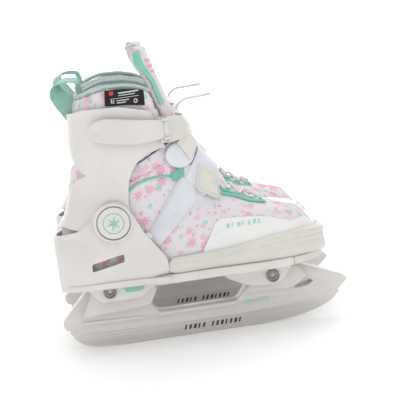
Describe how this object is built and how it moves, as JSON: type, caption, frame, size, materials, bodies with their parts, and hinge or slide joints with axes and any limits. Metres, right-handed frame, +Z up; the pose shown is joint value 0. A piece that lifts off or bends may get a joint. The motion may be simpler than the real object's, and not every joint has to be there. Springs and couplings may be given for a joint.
{
  "type": "pair of ice skates",
  "caption": "Child's size-adjustable soft-boot ice skates, a pair, with white plastic cuffs and buckles, floral fabric, mint trim and steel hockey-style blades.",
  "frame": {"origin": "centre of the pair's overall box, on the plane that both runners rest on", "axes": "+X towards the toes, +Y from the right skate to the left skate, +Z up from the ice"},
  "size_m": [0.2776, 0.2092, 0.2829],
  "materials": {
    "shell_plastic": "satin",
    "cream_plastic": "satin",
    "runner_steel": "brushed",
    "zinc_steel": "satin",
    "mint_plastic": "satin",
    "mint_webbing": "woven",
    "mint_facing": "woven",
    "printed_fabric": "printed fabric",
    "lining_fabric": "knit",
    "strap_leather": "matte",
    "strap_webbing": "matte",
    "lace_cord": "braided",
    "label_black": "matte"
  },
  "bodies": {
    "right_boot_body": {"right_runner": "runner_steel", "right_blade_holder": "shell_plastic", "right_rear_bolt": "zinc_steel", "right_front_bolt": "zinc_steel", "right_chassis": "shell_plastic", "right_pivot_outer": "shell_plastic", "right_pivot_inner": "shell_plastic", "right_quarter": "printed_fabric", "right_insole": "lining_fabric", "right_strap_base": "strap_leather", "right_instep_strap": "strap_webbing", "right_strap_loop": "strap_webbing", "right_strap_tab": "strap_webbing", "right_strap_rivet": "shell_plastic"},
    "right_cuff_body": {"right_cuff": "shell_plastic", "right_collar": "printed_fabric", "right_tongue": "printed_fabric", "right_label": "label_black", "right_pull_loop": "mint_webbing", "right_buckle_strap": "shell_plastic", "right_buckle_strap_rivet": "shell_plastic", "right_buckle_base": "shell_plastic", "right_lever_pin": "zinc_steel", "right_lace_end": "lace_cord"},
    "right_lever_body": {"right_buckle_lever": "shell_plastic"},
    "right_toe_body": {"right_toe_bumper": "cream_plastic", "right_toe_upper": "printed_fabric", "right_eyestay": "mint_facing", "right_lace": "lace_cord"},
    "right_button_body": {"right_size_button": "mint_plastic"},
    "left_boot_body": {"left_runner": "runner_steel", "left_blade_holder": "shell_plastic", "left_rear_bolt": "zinc_steel", "left_front_bolt": "zinc_steel", "left_chassis": "shell_plastic", "left_pivot_outer": "shell_plastic", "left_pivot_inner": "shell_plastic", "left_quarter": "printed_fabric", "left_insole": "lining_fabric", "left_strap_base": "strap_leather", "left_instep_strap": "strap_webbing", "left_strap_loop": "strap_webbing", "left_strap_tab": "strap_webbing", "left_strap_rivet": "shell_plastic"},
    "left_cuff_body": {"left_cuff": "shell_plastic", "left_collar": "printed_fabric", "left_tongue": "printed_fabric", "left_label": "label_black", "left_pull_loop": "mint_webbing", "left_buckle_strap": "shell_plastic", "left_buckle_strap_rivet": "shell_plastic", "left_buckle_base": "shell_plastic", "left_lever_pin": "zinc_steel", "left_lace_end": "lace_cord"},
    "left_lever_body": {"left_buckle_lever": "shell_plastic"},
    "left_toe_body": {"left_toe_bumper": "cream_plastic", "left_toe_upper": "printed_fabric", "left_eyestay": "mint_facing", "left_lace": "lace_cord"},
    "left_button_body": {"left_size_button": "mint_plastic"}
  },
  "joints": [
    {"name": "right_cuff_flex", "type": "hinge", "parent": "right_boot_body", "child": "right_cuff_body", "pos_m": [-0.077, -0.055, 0.126], "axis": [0, 1, 0], "range_deg": [0, 5]},
    {"name": "right_buckle_open", "type": "hinge", "parent": "right_cuff_body", "child": "right_lever_body", "pos_m": [-0.017, -0.0974, 0.206], "axis": [0, 0, 1], "range_deg": [0, 100]},
    {"name": "right_size_slide", "type": "slide", "parent": "right_boot_body", "child": "right_toe_body", "axis": [1, 0, 0], "range_m": [0, 0.018]},
    {"name": "right_button_press", "type": "slide", "parent": "right_boot_body", "child": "right_button_body", "axis": [0, 1, 0], "range_m": [0, 0.003], "stiffness_N_per_m": 300},
    {"name": "left_cuff_flex", "type": "hinge", "parent": "left_boot_body", "child": "left_cuff_body", "pos_m": [-0.077, 0.055, 0.126], "axis": [0, 1, 0], "range_deg": [0, 5]},
    {"name": "left_buckle_open", "type": "hinge", "parent": "left_cuff_body", "child": "left_lever_body", "pos_m": [-0.017, 0.0974, 0.206], "axis": [0, 0, -1], "range_deg": [0, 100]},
    {"name": "left_size_slide", "type": "slide", "parent": "left_boot_body", "child": "left_toe_body", "axis": [1, 0, 0], "range_m": [0, 0.018]},
    {"name": "left_button_press", "type": "slide", "parent": "left_boot_body", "child": "left_button_body", "axis": [0, -1, 0], "range_m": [0, 0.003], "stiffness_N_per_m": 300},
    {"name": "pair_spacing", "type": "slide", "parent": "right_boot_body", "child": "left_boot_body", "axis": [0, 1, 0], "range_m": [0, 0.15]}
  ]
}
